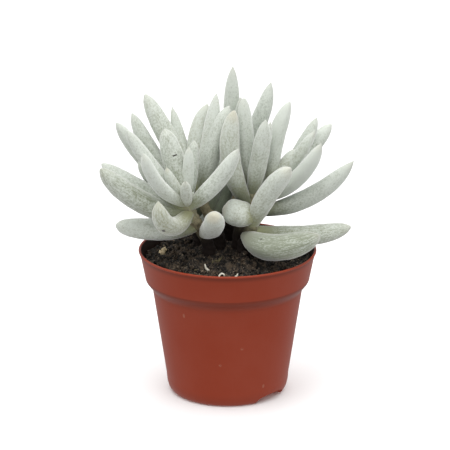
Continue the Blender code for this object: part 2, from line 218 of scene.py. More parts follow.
LEAF_DENTS = ((5.0, 0.035), (1.6, 0.012))            # size and depth
LEAF_POINT = 0.5           # the small point at the tip, over the last share of the leaf
LEAF_POINT_SHARE = 0.015

# The young leaves at a stem's tip; each next one is smaller and stands steeper
BUD_SIDES = 14
BUD_RINGS = 22
BUD_TURN = 0.382           # of a full turn, from one to the next
BUD_RISE = 62
BUD_LENGTH = 5.0
BUD_WIDTH = 2.4
BUD_LOOKS = (0.35, 0.1, 0.1)

# How some leaves differ, by row: tone, from -1, grey-green, to 1, yellowish, how dry the tip is, and
# how thin the felt is, from wear and, on some rows, as painted shade
LEAF_TONES = {
    "left_front": {
        0: (0.1, 0.15, -0.12), 2: (-0.1, 0.1, 0.5), 4: (0.1, 0.1, 0.1), 5: (0.9, 0.3, 0.36),
        6: (0.6, 0.5, 0.1), 7: (0.1, 0.3, -0.15), 8: (0.5, 0.3, 0.1), 10: (-0.2, 0.1, 0.36),
        # Row 11 lies in shadow: its green tone and thin felt are painted shade
        11: (-0.5, 0.1, 0.3), 12: (1.0, 1.0, -0.08)},
    # Row 6 lies in shadow: its green tone and thin felt are painted shade
    "left_back": {0: (-0.2, 0.1, 0.1), 6: (-0.6, 0.1, 0.9)},
    "centre_left": {
        0: (0.0, 0.1, 0.3), 2: (0.9, 0.2, -0.12), 3: (0.1, 0.1, 0.0), 4: (-0.3, 0.1, 0.1),
        # Rows 5 to 7 lie in shadow: their green tone and thin felt are painted shade
        5: (-0.7, 0.1, 1.0), 6: (-0.6, 0.1, 0.9), 7: (-0.6, 0.1, 0.9)},
    "centre": {0: (0.6, 0.7, 0.15), 1: (-0.2, 0.1, 0.0), 2: (0.1, 0.1, 0.08)},
    "right_front": {
        0: (0.2, 0.4, 0.1), 1: (-0.1, 0.2, 0.5), 2: (-0.3, 0.2, 0.8), 3: (0.6, 0.7, -0.02)},
    "right_back": {
        0: (0.0, 0.1, -0.15), 1: (0.8, 0.1, 0.0), 5: (0.1, 0.3, -0.5), 6: (-0.3, 0.2, -0.05)},
    "back": {0: (-0.5, 0.2, -0.2), 2: (-0.9, 0.1, -0.1)},
}

# Small dark scars: share along the leaf, angle round it, extent round it and along it
LEAF_SCARS = {"left_front": {5: (0.65, -75, 1.8, 1.3), 10: (0.665, 47, 2.7, 0.85)},
              "right_front": {2: (0.38, 125, 1.0, 0.9)}}
NO_SCAR = (9.0, 9.0, 0.0)    # far outside a scar

# The heart of the plant, where leaves crowd; painted shade darkens them there
HEART_PLACE = (1.0, 7.0, 92.0)
HEART_RADIUS = 23.0

# The lights: place and width in metres, and share of the power in the settings
LIGHTS = {"key_light": ((-0.3, -0.5, 1.8), 0.8, 2.2), "fill_light": ((0.9, -0.9, 1.2), 1.4, 0.7),
          "back_light": ((0.1, 1.0, 1.3), 1.2, 0.9)}
LIGHT_TARGET = (0, 0, 0.08)


class Link:
    """A socket's output, with arithmetic that adds Math nodes to its tree."""

    def __init__(self, wiring, socket):
        self.wiring = wiring
        self.socket = socket

    def maths(self, operation, first, second=0.0):
        inputs = {"Value": first, "Value_001": second}
        return self.wiring.node("Math", {"operation": operation}, inputs)

    def __add__(self, other):
        return self.maths("ADD", self, other)

    def __radd__(self, other):
        return self.maths("ADD", other, self)

    def __sub__(self, other):
        return self.maths("SUBTRACT", self, other)

    def __rsub__(self, other):
        return self.maths("SUBTRACT", other, self)

    def __mul__(self, other):
        return self.maths("MULTIPLY", self, other)

    def __rmul__(self, other):
        return self.maths("MULTIPLY", other, self)

    def __truediv__(self, other):
        return self.maths("DIVIDE", self, other)

    def __rtruediv__(self, other):
        return self.maths("DIVIDE", other, self)

    def __abs__(self):
        return self.maths("ABSOLUTE", self)

    def fade(self, low, high):
        """0 below low, 1 above high and a soft step between them."""
        inputs = {"Value": self, "From Min": low, "From Max": high}
        return self.wiring.node("MapRange", {"interpolation_type": "SMOOTHSTEP"}, inputs)


class Wiring:
    """Adds nodes to a tree and links them."""

    def __init__(self, tree):
        self.tree = tree

    def find(self, sockets, key):
        """A socket by its identifier, or else by its name or number."""
        for socket in sockets:
            if socket.identifier == key:
                return socket
        return sockets[key]

    def feed(self, socket, value):
        if isinstance(value, Link):
            self.tree.links.new(value.socket, socket)
        elif socket.type == "RGBA":
            socket.default_value = (*value, 1.0)
        else:
            socket.default_value = value

    def node(self, kind, settings=None, inputs=None, output=0):
        """Add a node: its settings first, then the values or links of its sockets."""
        made = self.tree.nodes.new("ShaderNode" + kind)
        for key, value in (settings or {}).items():
            setattr(made, key, value)
        for key, value in (inputs or {}).items():
            self.feed(self.find(made.inputs, key), value)
        return Link(self, self.find(made.outputs, output))

    def part(self, vector, axis):
        """A vector's X, Y or Z."""
        return self.node("SeparateXYZ", None, {"Vector": vector}, axis)


class Finish(Wiring):
    """One material and the nodes that make it."""

    def __init__(self, name):
        self.material = bpy.data.materials.new(name)
        self.material.use_nodes = True
        super().__init__(self.material.node_tree)
        self.shader = self.tree.nodes["Principled BSDF"]

    def attribute(self, name, output="Fac"):
        return self.node("Attribute", {"attribute_name": name}, output=output)

    def position(self):
        """Where a point lies on the object, in metres."""
        return self.node("TexCoord", output="Object")

    def reach(self, position, spot):
        """Distance in millimetres from a spot given in millimetres."""
        inputs = {"Vector": position, "Vector_001": [number * MM for number in spot]}
        return self.node("VectorMath", {"operation": "DISTANCE"}, inputs, "Value") / MM

    def mix(self, factor, first, second):
        """A colour between two colours."""
        inputs = {"Factor_Float": factor, "A_Color": first, "B_Color": second}
        return self.node("Mix", {"data_type": "RGBA"}, inputs, "Result_Color")

    def stretch(self, vector, by):
        return self.node("VectorMath", {"operation": "MULTIPLY"},
                         {"Vector": vector, "Vector_001": by})

    def clouds(self, vector, scale, detail=2.0, roughness=0.5):
        inputs = {"Vector": vector, "Scale": scale, "Detail": detail, "Roughness": roughness}
        return self.node("TexNoise", None, inputs)

    def cells(self, vector, scale):
        """Distance to the nearest of scattered points."""
        return self.node("TexVoronoi", None, {"Vector": vector, "Scale": scale}, "Distance")

    def bump(self, height, distance, strength=1.0, below=None):
        inputs = {"Height": height, "Distance": distance, "Strength": strength}
        if below is not None:
            inputs["Normal"] = below
        return self.node("Bump", None, inputs)

    def set(self, **values):
        """Set or link sockets of the shader, with spaces written as underscores."""
        for key, value in values.items():
            self.feed(self.shader.inputs[key.replace("_", " ")], value)


def felt_finish(settings):
    """Fleshy leaves under short white felt, rubbed thin in streaks, with painted shade deep in the
    plant, on stems that turn brown.
    """
    finish = Finish("felted_leaf")
    place = finish.attribute("place", "Vector")
    along = finish.attribute("along")
    tone = finish.attribute("tone")
    dry = finish.attribute("dry")
    wear_and_shade = finish.attribute("wear_and_shade")
    scar = finish.attribute("scar", "Vector")
    streaks = finish.clouds(finish.stretch(place, (1.0, 1.0, 0.1)), 1.5, 4.0, 0.6)
    mottle = finish.clouds(place, 0.16, 3.0, 0.55)
    fuzz = finish.clouds(place, 0.95, 5.0, 0.8)
    specks = 1 - finish.cells(place, 0.75).fade(0.1, 0.24)
    greener = finish.mix(tone.fade(-1.0, 1.0), settings.green_colour, settings.yellow_colour)
    # Leaf roots go greener and yellower: partly their own thinner felt, partly painted shade where
    # the leaves crowd
    near_root = 1 - along.fade(0.0, 0.42)
    # Thin felt shows the green beneath: from wear in streaks, and as painted shade on leaves in
    # shadow
    thin_felt = (streaks.fade(0.44, 0.66) * (0.1 + wear_and_shade * wear_and_shade * wear_and_shade * 1.5)
                 + mottle.fade(0.4, 0.72) * 0.16 + specks * 0.3 + fuzz.fade(0.42, 0.6) * 0.42
                 + near_root * 0.62 + abs(tone) * 0.15 + wear_and_shade * 0.68
                 - along.fade(0.45, 0.95) * 0.15)
    colour = finish.mix(thin_felt.fade(0.0, 1.15), settings.felt_colour, greener)
    colour = finish.mix(near_root * near_root * 0.65, colour, settings.root_colour)
    # Painted shade on the leaves in the heart of the plant
    colour = finish.mix(deep_inside(finish) * 0.62, colour, settings.heart_shade_colour)
    tip = along.fade(0.86, 1.0) * dry
    colour = finish.mix(tip * 0.7, colour, settings.tip_colour)
    round_scar = 1 - abs(finish.part(scar, "X")).fade(0.75, 1.0)
    along_scar = 1 - abs(finish.part(scar, "Y")).fade(0.55, 1.0)
    colour = finish.mix(round_scar * along_scar, colour, settings.scar_colour)
    relief = finish.bump(streaks, 0.0003, 0.5)
    relief = finish.bump(fuzz, 0.00012, 0.8, relief)
    finish.set(Base_Color=colour, Roughness=0.82 + fuzz * 0.12, Normal=relief)
    finish.set(Sheen_Weight=0.85, Sheen_Roughness=0.45, Specular_IOR_Level=0.2)
    add_bark(finish, place, settings)
    return finish.material


def deep_inside(finish):
    """1 in the heart of the plant, 0 outside it; painted shade falls on the leaves there."""
    reach = finish.reach(finish.position(), HEART_PLACE)
    return 1 - reach.fade(HEART_RADIUS * 0.4, HEART_RADIUS)


def add_bark(finish, place, settings):
    """Lay the stems' bark over the felt: brown-black low down, partly its own colour and partly
    painted shade, yellowish brown near the leaves.
    """
    young = finish.part(place, "Z").fade(76.0, 90.0)
    colour = finish.mix(young, settings.low_bark_and_shade_colour, settings.young_bark_colour)
    grain = finish.clouds(finish.stretch(place, (1.0, 1.0, 0.3)), 1.3, 4.0, 0.65)
    colour = finish.mix(grain.fade(0.35, 0.7) * 0.6, colour, settings.low_bark_and_shade_colour)
    relief = finish.bump(grain, 0.0006, 0.7)
    inputs = {"Base Color": colour, "Roughness": 0.85, "Specular IOR Level": 0.2, "Normal": relief}
    bark = finish.node("BsdfPrincipled", None, inputs)
    felt = Link(finish, finish.shader.outputs["BSDF"])
    both = {"Fac": finish.attribute("bark"), "Shader": felt, "Shader_001": bark}
    mixed = finish.node("MixShader", None, both)
    finish.feed(finish.tree.nodes["Material Output"].inputs["Surface"], mixed)


def plastic_finish(settings):
    """Satin terracotta-coloured plastic with faint drag lines, dust, a few scuffs and painted shade.
    """
    finish = Finish("terracotta_plastic")
    place = finish.position()
    drags = finish.clouds(finish.stretch(place, (1.0, 1.0, 0.05)), 420.0, 3.0, 0.6)
    patches = finish.clouds(place, 38.0, 3.0, 0.55)
    grains = finish.clouds(place, 2600.0, 2.0, 0.6)
    scuffs = 1 - finish.cells(finish.stretch(place, (1.0, 1.0, 0.6)), 95.0).fade(0.03, 0.09)
    colour = finish.mix(patches.fade(0.3, 0.75) * 0.5, settings.colour, settings.faded_colour)
    colour = finish.mix(drags.fade(0.5, 0.75) * 0.12, colour, settings.faded_colour)
    height = finish.part(place, "Z") / MM
    # Painted shade, darker in the grooves under the lip and under the band
    colour = finish.mix(painted_shade_under_steps(height), colour, settings.painted_shade_colour)
    # The inner side of the wall above the soil is made nearly black
    colour = finish.mix(inside_rim(finish, place, height) * 0.97, colour, settings.inner_wall_colour)
    dust = scuffs * finish.clouds(place, 60.0).fade(0.52, 0.62)
    for spot in SCUFF_PLACES:
        dust = dust + (1 - finish.reach(place, spot).fade(0.3, 1.1)) * grains.fade(0.35, 0.6)
    colour = finish.mix(dust.fade(0.0, 1.0) * settings.scuffs, colour, settings.scuff_colour)
    relief = finish.bump(grains, 0.00004, 0.35)
    relief = finish.bump(drags, 0.00012, 0.25, relief)
    finish.set(Base_Color=colour, Roughness=0.4 + patches * 0.1, Normal=relief)
    finish.set(Specular_IOR_Level=0.22)
    return finish.material


def painted_shade_under_steps(height):
    """How much painted shade darkens the grooves under the lip and under the band."""
    lip_edge = POT_HEIGHT - 2 * LIP_ROUNDING
    lip = height.fade(lip_edge - 2.8, lip_edge - 0.2) * (1 - height.fade(lip_edge, lip_edge + 0.15))
    band_edge = POT_HEIGHT - BAND_DROP
    band = height.fade(band_edge - 8, band_edge - 1.5)
    band = band * (1 - height.fade(band_edge - 0.4, band_edge))
    return lip * 0.48 + band * 0.4


def inside_rim(finish, place, height):
    """1 on the inner side of the wall above the soil, which is made nearly black."""
    across = finish.stretch(place, (1 / MM, 1 / MM, 0.0))
    reach = finish.node("VectorMath", {"operation": "LENGTH"}, {"Vector": across}, "Value")
    middle = NECK_RADIUS - POT_WALL / 2 + (height - (POT_HEIGHT - LIP_DROP)) * RIM_FLARE
    darkened = (middle - reach).fade(0.0, 0.1) * height.fade(SOIL_TOP - 3, SOIL_TOP - 2)
    return darkened * (1 - height.fade(POT_HEIGHT - 0.7, POT_HEIGHT - 0.2))


def peat_finish(name, settings, lighter):
    """Damp dark peat, or a crumb of it when lighter is above 0."""
    finish = Finish(name)
    place = finish.position()
    fine = finish.clouds(place, 900.0, 5.0, 0.7)
    broad = finish.clouds(place, 300.0, 3.0, 0.6)
    colour = finish.mix(broad.fade(0.46, 0.66), settings.colour, settings.brown_colour)
    colour = finish.mix(fine.fade(0.54, 0.68) * (0.6 + lighter), colour, settings.fleck_colour)
    relief = finish.bump(fine, 0.0004, 0.8)
    finish.set(Base_Color=colour, Roughness=0.78 + fine * 0.2, Normal=relief)
    finish.set(Specular_IOR_Level=0.3)
    return finish.material


def bit_finish(name, colour, shade):
    """A loose bit on the soil: grit, a root or a flake of husk."""
    finish = Finish(name)
    grain = finish.clouds(finish.position(), 700.0, 4.0, 0.65)
    colour = finish.mix(grain.fade(0.35, 0.7), colour, shade)
    finish.set(Base_Color=colour, Roughness=0.8 + grain * 0.15)
    finish.set(Normal=finish.bump(grain, 0.0002, 0.6))
    return finish.material


def add_object(name, data):
    made = bpy.data.objects.new(name, data)
    bpy.context.scene.collection.objects.link(made)
    return made


def seat_piece(piece):
    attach(piece, BODY)
    return piece


def make_piece(name, points, faces, material, attributes=None):
    """A smooth mesh from points in mm, with its values for the material, riding on the part."""
    mesh = bpy.data.meshes.new(name)
    mesh.from_pydata([point * MM for point in points], [], faces)
    mesh.validate()
    for key, values in (attributes or {}).items():
        if isinstance(values[0], Vector):
            layer = mesh.attributes.new(key, "FLOAT_VECTOR", "POINT")
            layer.data.foreach_set("vector", [part for value in values for part in value])
        else:
            layer = mesh.attributes.new(key, "FLOAT", "POINT")
            layer.data.foreach_set("value", values)
    mesh.shade_smooth()
    mesh.materials.append(material)
    return seat_piece(add_object(name, mesh))


def take_mesh(name, bm):
    """A mesh made from the worked shape, which is freed."""
    mesh = bpy.data.meshes.new(name)
    bm.to_mesh(mesh)
    bm.free()
    return mesh


def round_place(radius, angle, height=0.0):
    """A point at a distance from the pot's axis, in a direction in radians."""
    return Vector((radius * cos(angle), radius * sin(angle), height))


def ring_faces(first, count, rings):
    """Quads between rings of count points each, numbered from first."""
    faces = []
    for low in range(first, first + (rings - 1) * count, count):
        for k in range(count):
            after = (k + 1) % count
            faces.append((low + k, low + after, low + count + after, low + count + k))
    return faces


def capped_faces(first, count, rings):
    """The same quads, and a face over each end."""
    last = first + (rings - 1) * count
    start = tuple(first + k for k in range(count))[::-1]
    return ring_faces(first, count, rings) + [start, tuple(last + k for k in range(count))]


def blend_points(start, end, count):
    """Points of an S curve between two (radius, height) pairs, without its start."""
    points = []
    for k in range(1, count + 1):
        share = k / count
        ease = (1 - cos(pi * share)) / 2
        points.append((start[0] + (end[0] - start[0]) * ease, start[1] + (end[1] - start[1]) * share))
    return points


def pot_side(inset, shoulder):
    """The side's outline from the lip's neck to the foot's corner, set in from the outside."""
    neck = (NECK_RADIUS - inset, POT_HEIGHT - LIP_DROP)
    band = (BAND_RADIUS - inset, POT_HEIGHT - BAND_DROP)
    wall = (WALL_TOP_RADIUS - inset, POT_HEIGHT - SHOULDER_DROP)
    low = (WALL_LOW_RADIUS - inset, FOOT_HEIGHT)
    return [neck, band] + blend_points(band, wall, shoulder) + [low]


def arc_points(centre, radii, start, stop, count):
    """Points of an ellipse's arc, in degrees from the +radius side."""
    points = []
    for k in range(count):
        angle = radians(start + (stop - start) * k / (count - 1))
        points.append((centre[0] + radii[0] * cos(angle), centre[1] + radii[1] * sin(angle)))
    return points


def pot_profile():
    """From the inner floor up the inside, over the lip and down the outer side."""
    floor = FLOOR_UNDERSIDE + FLOOR_THICKNESS
    well = DISC_RADIUS - FLOOR_THICKNESS / 2
    floor_inside = [(0, FLOOR_THICKNESS), (well, FLOOR_THICKNESS), (well + DISC_SLOPE, floor)]
    inside = pot_side(POT_WALL, 10)[::-1]
    inside[0] = (WALL_LOW_RADIUS - POT_WALL - FLOOR_TUCK, floor)
    lip = arc_points((RIM_RADIUS - LIP_ROUNDING, POT_HEIGHT - LIP_ROUNDING),
                     (LIP_ROUNDING, LIP_ROUNDING), 180, -70, 13)
    foot = arc_points((FOOT_RADIUS, FOOT_HEIGHT), (WALL_LOW_RADIUS - FOOT_RADIUS, FOOT_HEIGHT),
                      0, -90, 14)[1:]
    skirt = [(FOOT_RADIUS - POT_WALL - FOOT_TUCK, 0),
             (WALL_LOW_RADIUS - POT_WALL - SKIRT_TUCK, FLOOR_UNDERSIDE)]
    disc = [(DISC_RADIUS + DISC_SLOPE, FLOOR_UNDERSIDE), (DISC_RADIUS, 0), (0, 0)]
    return floor_inside + inside + lip + pot_side(0, 14) + foot + skirt + disc


def cut_from_pot(pot):
    """Cut the drain holes and the two arched notches of the foot."""
    cutters = bpy.data.collections.new("pot_cutters")
    bpy.context.scene.collection.children.link(cutters)
    for k in range(DRAIN_HOLES):
        place = round_place(DRAIN_RING_RADIUS, 2 * pi * k / DRAIN_HOLES,
                            FLOOR_UNDERSIDE + FLOOR_THICKNESS / 2)
        hole = cutter("drain_%d" % k, DRAIN_HOLE_RADIUS, 3 * FLOOR_THICKNESS, cutters)
        hole.location = place * MM
    for k, direction in enumerate(NOTCH_DIRECTIONS):
        notch = cutter("notch_%d" % k, NOTCH_WIDTH / 2, NOTCH_REACH, cutters)
        for vert in notch.data.vertices:
            across, along, up = vert.co.x, vert.co.z, vert.co.y
            rise = abs(up / (NOTCH_WIDTH / 2 * MM)) ** NOTCH_FLATNESS * NOTCH_HEIGHT * MM
            vert.co = (along, across, copysign(rise, up))
        angle = radians(direction)
        notch.rotation_euler.z = angle
        notch.location = round_place(1, angle) * FOOT_RADIUS * MM
    bpy.context.view_layer.update()
    cut = pot.modifiers.new("Cut", "BOOLEAN")
    cut.operation = "DIFFERENCE"
    cut.operand_type = "COLLECTION"
    cut.collection = cutters
    apply_all(pot)
    for item in list(cutters.objects):
        bpy.data.objects.remove(item, do_unlink=True)
    bpy.data.collections.remove(cutters)


def cutter(name, radius, depth, collection):
    """A cylinder along Z, linked to the cutters' collection only."""
    bm = bmesh.new()
    bmesh.ops.create_cone(bm, cap_ends=True, segments=48, radius1=radius * MM,
                          radius2=radius * MM, depth=depth * MM)
    item = bpy.data.objects.new(name, take_mesh(name, bm))
    collection.objects.link(item)
    return item


def apply_all(piece):
    """Give the piece the mesh that its modifiers make."""
    depsgraph = bpy.context.evaluated_depsgraph_get()
    mesh = bpy.data.meshes.new_from_object(piece.evaluated_get(depsgraph), depsgraph=depsgraph)
    piece.modifiers.clear()
    piece.data = mesh


def build_pot(settings):
    """The pot: its outline turned round the axis, then cut."""
    profile = pot_profile()
    mesh = bpy.data.meshes.new("nursery_pot")
    edges = [(k, k + 1) for k in range(len(profile) - 1)]
    mesh.from_pydata([(radius * MM, 0, height * MM) for radius, height in profile], edges, [])
    mesh.materials.append(plastic_finish(settings))
    pot = add_object("nursery_pot", mesh)
    screw = pot.modifiers.new("Turn", "SCREW")
    screw.steps = settings.steps
    screw.use_merge_vertices = True
    screw.merge_threshold = 0.00001
    apply_all(pot)
    cut_from_pot(pot)
    bm = bmesh.new()
    bm.from_mesh(pot.data)
    bmesh.ops.recalc_face_normals(bm, faces=bm.faces)
    bm.to_mesh(pot.data)
    bm.free()
    pot.data.shade_smooth()
    pot.data.set_sharp_from_angle(angle=radians(32))
    seat_piece(pot)
    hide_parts("pot")
    return pot


def soil_height(x, y):
    """Level of the solid's soil at a place: a low mound with lumps, level at the edge."""
    inward = max(0.0, 1 - (hypot(x, y) / (NECK_RADIUS - POT_WALL - GAP)) ** 2)
    lumps = noise.noise(Vector((x, y, 0)) / SOIL_LUMP_SIZE)
    fade = min(1.0, SOIL_EVEN_EDGE * inward)
    return SOIL_TOP + SOIL_MOUND * inward + SOIL_RELIEF * lumps * fade


def crumble(x, y, size):
    """Rounded crumbs of one size, from 0 in the cracks to 1 on top."""
    near, far = noise.voronoi(Vector((x, y, size)) / size)[0][:2]
    return min(1.0, (far - near) * 1.6)


def soil_surface(x, y, relief):
    """The mound broken into crumbs of three sizes."""
    swell = noise.fractal(Vector((x, y, 3)) / SOIL_SWELL_SIZE, 0.8, 2.1, 4)
    crumbs = sum(share * crumble(x, y, size) for size, share in CRUMB_SIZES)
    return soil_height(x, y) + relief * (crumbs - 0.6 + 0.45 * swell)


def on_soil(x, y, relief, lift=0.0):
    """A point of the soil's surface, or lifted over it."""
    return Vector((x, y, soil_surface(x, y, relief) + lift))


def build_soil(settings):
    """The soil's crumbled top, closed down its side and across its bottom."""
    sectors, rings = settings.sectors, settings.rings
    relief = settings.relief / MM
    angles = [2 * pi * k / sectors for k in range(sectors)]
    side = pot_side(POT_WALL + GAP, 6)[1:]
    under = FLOOR_UNDERSIDE + FLOOR_THICKNESS + GAP
    side[-1] = (side[-1][0] - FLOOR_TUCK, under)
    points = [round_place(radius, angle, height)
              for radius, height in side[::-1] for angle in angles]
    for ring in range(rings, 0, -1):
        radius = SOIL_EDGE * (ring / rings)
        points += [on_soil(radius * cos(angle), radius * sin(angle), relief) for angle in angles]
    top = len(points)
    last = top - sectors
    faces = ring_faces(0, sectors, top // sectors)
    faces += [(last + k, last + (k + 1) % sectors, top) for k in range(sectors)]
    faces += [((k + 1) % sectors, k, top + 1) for k in range(sectors)]
    points += [on_soil(0, 0, relief), Vector((0, 0, under))]
    soil = make_piece("peat_soil", points, faces, peat_finish("peat", settings, 0.0))
    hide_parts("soil")
    return soil


def add_lump(points, faces, centre, radii, roughness, draw, subdivisions=2):
    """An uneven lump, turned at random: a shaped sphere pushed in and out by noise."""
    bm = bmesh.new()
    bmesh.ops.create_icosphere(bm, subdivisions=subdivisions, radius=1.0)
    turn = Euler([draw.uniform(0, 2 * pi) for _ in range(3)])
    shift = Vector([draw.uniform(-50, 50) for _ in range(3)])
    first = len(points)
    for vert in bm.verts:
        swell = 1 + roughness * noise.noise(vert.co * 1.7 + shift)
        shaped = Vector([vert.co[k] * radii[k] * swell for k in range(3)])
        shaped.rotate(turn)
        points.append(centre + shaped)
    faces += [tuple(first + vert.index for vert in face.verts) for face in bm.faces]
    bm.free()


def clear_of_stems(x, y, margin):
    return all(hypot(x - foot[0], y - foot[1]) > STEM_RADIUS + margin for foot, _ in STEMS.values())


def scattered(draw, edge):
    """A random place on the soil, with every spot inside the edge as likely."""
    radius = edge * sqrt(draw.random())
    angle = draw.uniform(0, 2 * pi)
    return radius * cos(angle), radius * sin(angle)


def build_crumbs(settings):
    """Loose crumbs of peat lying on the surface, most of them small."""
    draw = random.Random(settings.seed)
    relief = settings.relief / MM
    points, faces = [], []
    to_lay = settings.crumbs
    while to_lay:
        x, y = scattered(draw, SOIL_EDGE - 1.0)
        size = 0.32 + 1.35 * draw.random() ** 3
        if clear_of_stems(x, y, size):
            radii = [size * draw.uniform(*limits) for limits in CRUMB_SHAPE]
            add_lump(points, faces, on_soil(x, y, relief, size * 0.25), radii, 0.9, draw)
            to_lay -= 1
    finish = peat_finish("peat_crumb", settings, 0.25)
    return make_piece("peat_crumbs", points, faces, finish)


def add_tube(points, faces, path, radius, sides=8):
    """A thin closed tube along a path, tapered to both ends."""
    first = len(points)
    count = len(path)
    for k, place in enumerate(path):
        heading = (path[min(k + 1, count - 1)] - path[max(k - 1, 0)]).normalized()
        across = heading.cross(Vector((0, 0, 1)))
        across = across.normalized() if across.length > 1e-3 else Vector((1, 0, 0))
        over = heading.cross(across)
        girth = radius * (0.45 + 0.55 * sin(pi * (k + 0.5) / count))
        for side in range(sides):
            angle = 2 * pi * side / sides
            points.append(place + (across * cos(angle) + over * sin(angle)) * girth)
    faces += capped_faces(first, sides, count)


def wandering_path(draw, x, y, length, relief):
    """A path that wanders over the soil."""
    steps = 9
    lift = 0.15
    heading = draw.uniform(0, 2 * pi)
    path = []
    for k in range(steps):
        path.append(Vector((x, y, soil_surface(x, y, relief) + lift + 0.25 * sin(k * 1.3))))
        heading += draw.uniform(-0.45, 0.45)
        x += length / steps * cos(heading)
        y += length / steps * sin(heading)
    return path


def build_fibres(settings):
    """Short brown fibres and fine roots strewn over the soil."""
    draw = random.Random(settings.seed + 1)
    points, faces = [], []
    for _ in range(settings.fibres):
        x, y = scattered(draw, SOIL_EDGE - 6.0)
        path = wandering_path(draw, x, y, draw.uniform(2.0, 6.5), settings.relief / MM)
        add_tube(points, faces, path, draw.uniform(0.08, 0.24), 6)
    finish = bit_finish("peat_fibre", settings.fibre_colour, settings.brown_colour)
    return make_piece("peat_fibres", points, faces, finish)


def stepped_path(relief, start, step, count, lift, rise=0.0, bow=0.0, turn=0.0):
    """A path over the soil in even steps, which may rise or bow to one side."""
    return [on_soil(start[0] + step[0] * k, start[1] + step[1] * k + bow * sin(turn * k),
                    relief, lift + rise * k) for k in range(count)]


def build_bits(settings):
    """The bits that stand out: a husk flake, a bent root, a ring, specks of grit, chips."""
    draw = random.Random(settings.seed + 2)
    relief = settings.relief / MM

    points, faces = [], []
    for shift, radii in HUSK_LUMPS:
        centre = on_soil(HUSK_PLACE[0] + shift[0], HUSK_PLACE[1] + shift[1], relief, 0.7)
        add_lump(points, faces, centre, radii, 1.0, draw, 3)
    husk = bit_finish("husk", *HUSK_COLOURS)
    made = [make_piece("husk_flake", points, faces, husk)]

    points, faces = [], []
    root = stepped_path(relief, (-10.7, -18.4), (0.22, 0), 10, lift=0.9, bow=-4.4, turn=0.22)
    add_tube(points, faces, root, 0.62)
    ring = [on_soil(RING_PLACE[0] + 1.25 * cos(angle), RING_PLACE[1] + 1.1 * sin(angle),
                    relief, 1.0 + 0.6 * sin(angle))
            for angle in [radians(-20 + 250 * k / 13) for k in range(14)]]
    add_tube(points, faces, ring, 0.46)
    fleck = stepped_path(relief, (3.0, -34.3), (0.3, 0.3), 7, lift=0.9, rise=0.1)
    add_tube(points, faces, fleck, 0.52)
    for x, y, size in GRIT:
        centre = on_soil(x, y, relief, size * 0.5)
        add_lump(points, faces, centre, (size, size * 0.8, size * 0.7), 0.7, draw)
    grit = bit_finish("grit", *GRIT_COLOURS)
    made.append(make_piece("white_grit", points, faces, grit))

    points, faces = [], []
    twig = stepped_path(relief, (-7.4, -18.6), (0.62, 0.5), 9, lift=0.5, bow=0.3, turn=1)
    add_tube(points, faces, twig, 0.75, 9)
    chip = stepped_path(relief, (-15.6, -23.6), (0.5, 0.16), 6, lift=0.5)
    add_tube(points, faces, chip, 0.6)
    bark = bit_finish("bark_chip", *CHIP_COLOURS)
    made.append(make_piece("bark_chips", points, faces, bark))
    return made


def stem_point(name, share):
    """A point of the stem's middle line, from its foot at 0 to its tip at 1."""
    foot, tip = STEMS[name]
    ease = (1 - cos(pi * share)) / 2
    return Vector((foot[0] + (tip[0] - foot[0]) * ease,
                   foot[1] + (tip[1] - foot[1]) * ease,
                   STEM_FOOT_LEVEL + (tip[2] - STEM_FOOT_LEVEL) * share))


def leaf_section(along, blunt):
    """Half-width of a leaf at a share of its length, against its fullest."""
    swell = LEAF_ROOT + (1 - LEAF_ROOT) * sin(pi / 2 * min(1.0, along / LEAF_FULL_AT))
    beyond = max(0.0, (along - LEAF_FULL_AT) / (1 - LEAF_FULL_AT))
    return swell * max(0.0, 1 - beyond ** LEAF_FULLNESS) ** blunt


def arc_point(along, turn):
    """A point of an arc over a chord of length 1: its share along and its rise off the chord."""
    if abs(turn) < 0.1:
        return along, 0.0
    angle = radians(turn)
    radius = 1 / (2 * sin(angle / 2))
    swung = (along - 0.5) * angle
    return 0.5 + radius * sin(swung), radius * (cos(swung) - cos(angle / 2))


def leaf_axes(direction, rise):
    """Unit vectors along the leaf, to its side and over its upper face."""
    turn, lift = radians(direction), radians(rise)
    chord = round_place(cos(lift), turn, sin(lift))
    side = Vector((-sin(turn), cos(turn), 0))
    return chord, side, chord.cross(side)


def leaf_point(root, row, along):
    """The middle of the leaf at a share of its length."""
    _, direction, rise, length, _, curl, sway, _ = row
    chord, side, over = leaf_axes(direction, rise)
    share, hang = arc_point(along, curl)
    swing = arc_point(along, sway)[1]
    return root + (chord * share - over * hang - side * swing) * length


class StemMesh:
    """The points, faces and material values of one stem with all its leaves."""

    def __init__(self):
        self.points = []
        self.faces = []
        self.values = {key: [] for key in ("place", "along", "tone", "dry", "wear_and_shade", "bark", "scar")}

    def add(self, point, place, along, looks, bark=0.0, scar=None):
        """Add a point; its looks are its tone, how dry its tip is and how thin its felt is, from wear
        and painted shade.
        """
        self.points.append(point)
        made = (place, along, *looks, bark, scar or Vector(NO_SCAR))
        for values, value in zip(self.values.values(), made):
            values.append(value)


def ring_shares(rings):
    """Shares along a leaf, closer together at its two ends."""
    return [(1 - cos(pi * (k + 0.35) / (rings - 0.3))) / 2 for k in range(rings)]


def scar_place(scar, angle, along, half, length):
    """Where a point lies against the scar's middle, in halves of the scar's two extents."""
    turn = (angle - radians(scar[1]) + pi) % (2 * pi) - pi
    return Vector((turn * half / scar[2] * 2, (along - scar[0]) * length / scar[3] * 2, 0))


